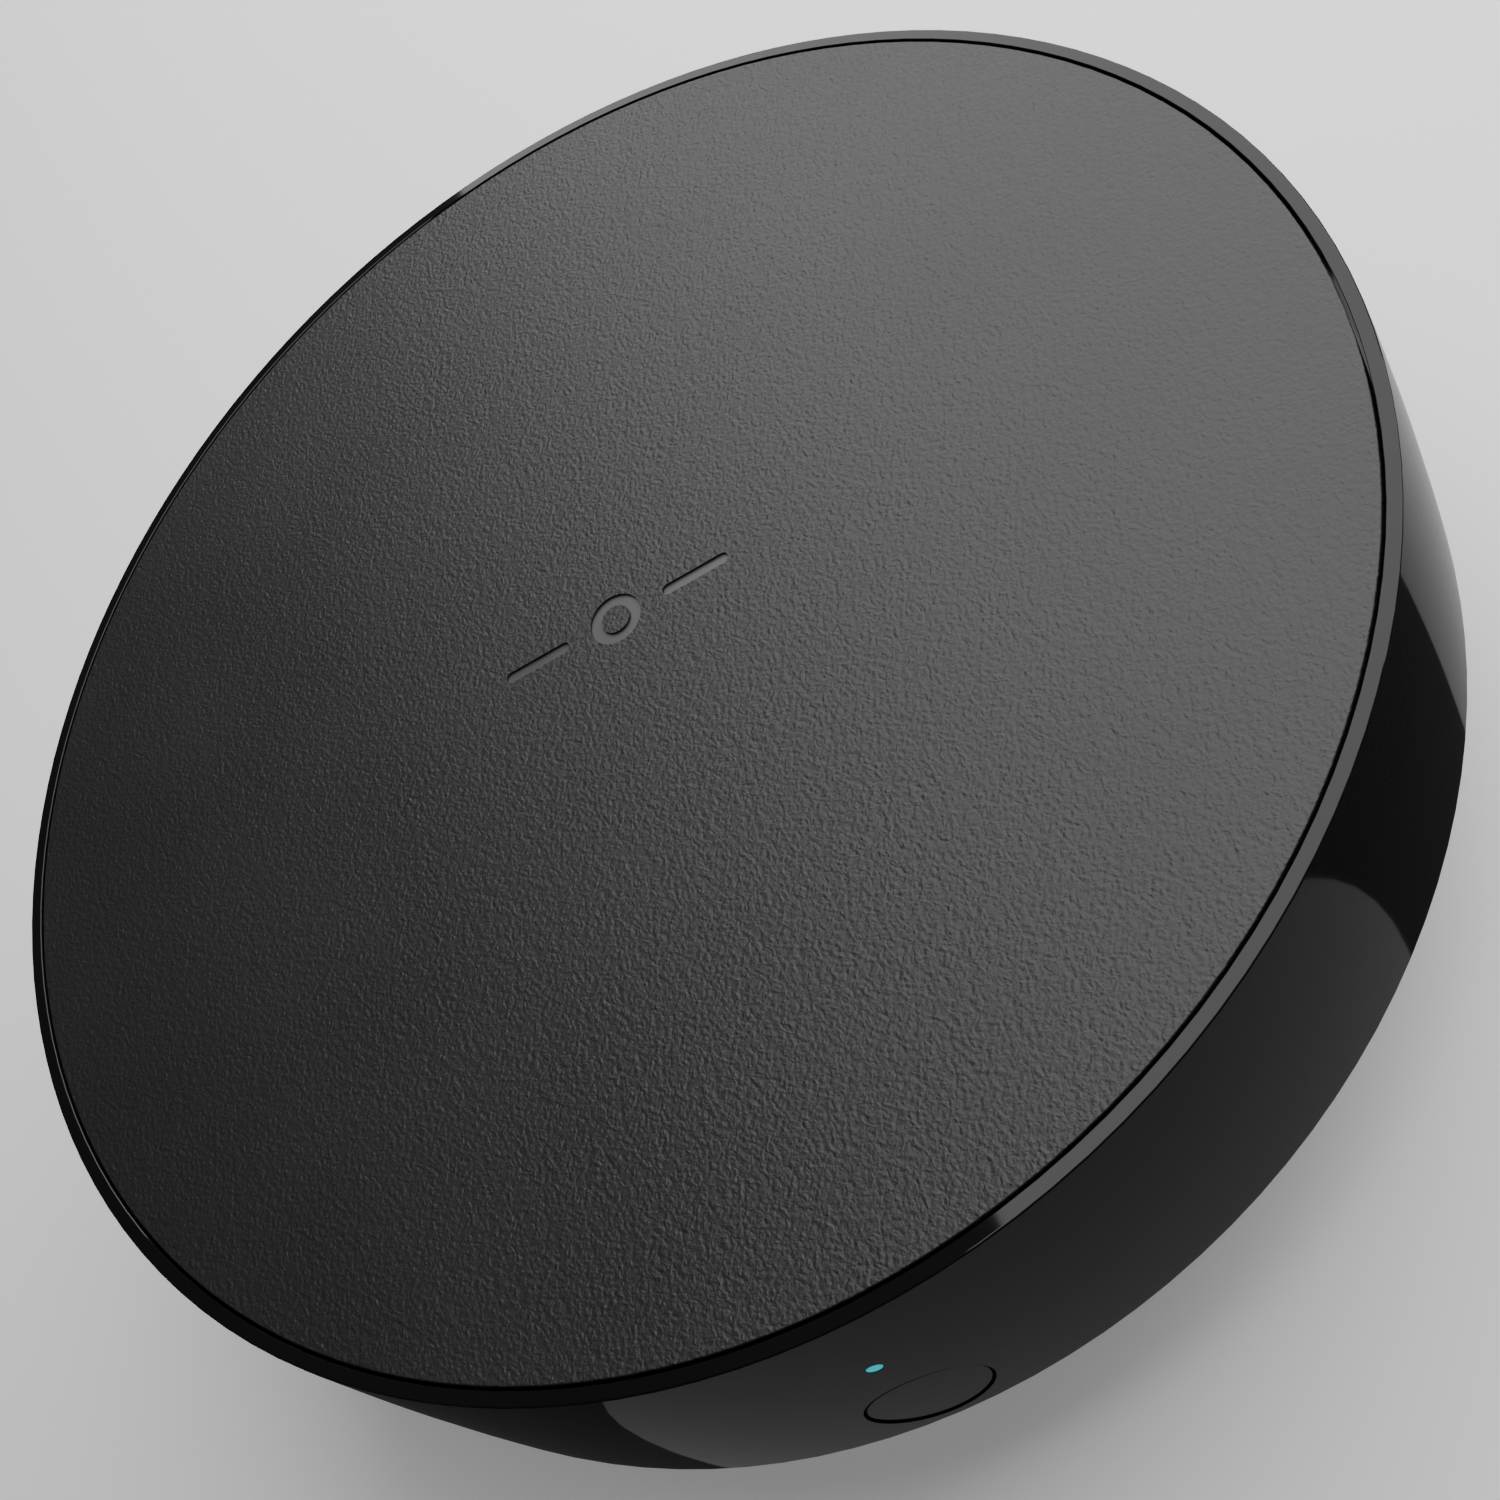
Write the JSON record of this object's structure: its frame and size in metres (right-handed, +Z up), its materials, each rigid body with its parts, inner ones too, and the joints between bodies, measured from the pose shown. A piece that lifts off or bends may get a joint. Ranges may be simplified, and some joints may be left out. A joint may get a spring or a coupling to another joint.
{
  "type": "smart home hub",
  "caption": "Round puck-shaped smart home hub with a textured lid, glossy dark band, side button with a status light, network and power sockets, and a tapered base.",
  "frame": {"origin": "centre of the rubber ring on the table", "axes": "+Z up through the lid, -Y towards the button, +Y towards the sockets"},
  "size_m": [0.1044, 0.1043, 0.0356],
  "materials": {
    "lid": "fine leather grain",
    "gloss_band": "polished, tinted",
    "base": "spark-eroded satin",
    "foot": "matte",
    "panel": "satin",
    "inner_plastic": "moulded",
    "board": "solder resist over glass fibre",
    "steel": "plated",
    "switch": "moulded",
    "light": "clear light guide",
    "led": "encapsulated",
    "contact": "gold flash",
    "ir_lens": "dark tinted",
    "ferrite": "sintered",
    "coil": "enamelled wire",
    "cone": "pressed",
    "surround": "soft roll",
    "gasket": "foam",
    "mesh": "woven",
    "connector": "natural nylon",
    "lead_red": "insulation",
    "lead_black": "insulation",
    "chip": "epoxy",
    "pad": "soft",
    "sink": "extruded",
    "capacitor": "can"
  },
  "bodies": {
    "case": {"top_cover": "lid", "side_band": "gloss_band", "base_shell": "base", "foot_ring": "foot", "port_panel": "panel", "inner_frame": "inner_plastic", "main_board": "board", "case_screws": "steel", "button_guide": "inner_plastic", "switch_body": "switch", "light_pipe": "light", "status_led": "led", "network_housing": "switch", "network_shield": "steel", "network_contacts": "contact", "power_shell": "steel", "power_tongue": "switch", "power_insulator": "switch", "ir_emitters": "ir_lens", "ir_receiver": "ir_lens", "speaker_frame": "inner_plastic", "speaker_gasket": "gasket", "speaker_mesh": "mesh", "speaker_magnet": "ferrite", "speaker_yoke": "steel", "speaker_top_plate": "steel", "speaker_surround": "surround", "speaker_socket": "connector", "speaker_plug": "connector", "speaker_lead_red": "lead_red", "speaker_lead_black": "lead_black", "processor": "chip", "memory_chip": "chip", "shield_can": "steel", "thermal_pad": "pad", "heat_sink": "sink", "network_transformer": "chip", "power_inductor": "ferrite", "capacitors": "capacitor", "mesh_radio": "steel", "wireless_radio": "steel", "antennas": "steel"},
    "button": {"button_cap": "gloss_band"},
    "plunger": {"switch_plunger": "lead_red"},
    "cone": {"speaker_cone": "cone", "voice_coil": "coil"}
  },
  "joints": [
    {"name": "button_press", "type": "slide", "parent": "case", "child": "button", "axis": [0, 1, 0], "range_m": [0, 0.00035], "stiffness_N_per_m": 4000, "springref_m": -0.0001},
    {"name": "switch_press", "type": "slide", "parent": "case", "child": "plunger", "axis": [0, 1, 0], "range_m": [0, 0.00035]},
    {"name": "cone_stroke", "type": "slide", "parent": "case", "child": "cone", "axis": [0, 0, -1], "range_m": [-0.0005, 0.0005], "stiffness_N_per_m": 1200}
  ],
  "couplings": [
    {"joint": "switch_press", "follows": "button_press", "ratio": 1}
  ]
}
